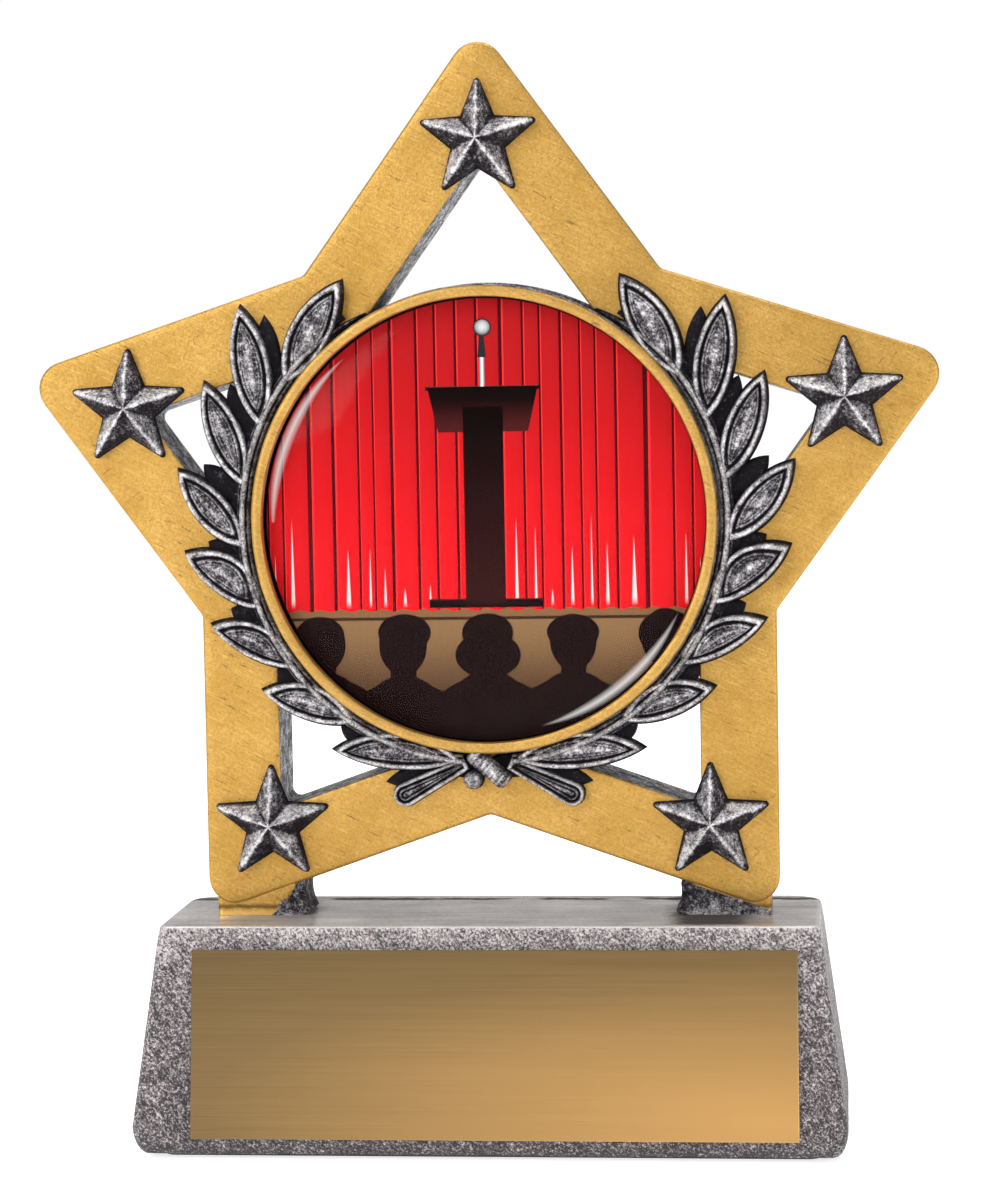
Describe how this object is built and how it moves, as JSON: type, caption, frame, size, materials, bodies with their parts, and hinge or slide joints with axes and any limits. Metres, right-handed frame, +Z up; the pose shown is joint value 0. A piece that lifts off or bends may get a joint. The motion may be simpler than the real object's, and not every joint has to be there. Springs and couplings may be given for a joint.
{
  "type": "star trophy",
  "caption": "Resin award: an open gold star standing on two feet and a tapered base, with a domed picture disc, a laurel wreath, small corner stars and a blank engraving plate.",
  "frame": {"origin": "middle of the underside: the middle of the overall width and depth, on the face that the trophy stands on", "axes": "+Z up, +X to the viewer's right, the front with the picture disc faces -Y"},
  "size_m": [0.1012, 0.0303, 0.1234],
  "materials": {
    "base_lacquer": "cast resin with grey metallic lacquer, glossy on top, silver dry-brushed over black on the sides",
    "gold": "cast resin with satin metallic gold paint, fine brush scratches",
    "antique_silver": "cast resin with antique silver paint, near-black in the recesses and bright on the ridges",
    "plate": "fine brushing along its length, clear lacquer",
    "print": "printed picture of a red stage curtain, lectern and audience",
    "clear_dome": "clear domed resin, glossy",
    "film": "double-sided adhesive, off-white",
    "steel": "plain drawn rod",
    "felt": "black needled felt"
  },
  "bodies": {
    "root": {"base_block": "base_lacquer", "felt_pad": "felt", "plate_adhesive": "film", "engraving_plate": "plate", "star_frame": "gold", "disc_cup": "antique_silver", "gold_rim": "gold", "disc_adhesive": "film", "picture_disc": "print", "dome_lens": "clear_dome", "ribbon_band": "antique_silver", "stem_end": "antique_silver", "foot_left": "antique_silver", "foot_right": "antique_silver", "pin_left": "steel", "pin_right": "steel", "laurel_left": "antique_silver", "laurel_right": "antique_silver", "ribbon_tail_left": "antique_silver", "ribbon_tail_right": "antique_silver", "corner_star_top": "antique_silver", "corner_star_left": "antique_silver", "corner_star_right": "antique_silver", "corner_star_lower_left": "antique_silver", "corner_star_lower_right": "antique_silver"}
  },
  "joints": []
}
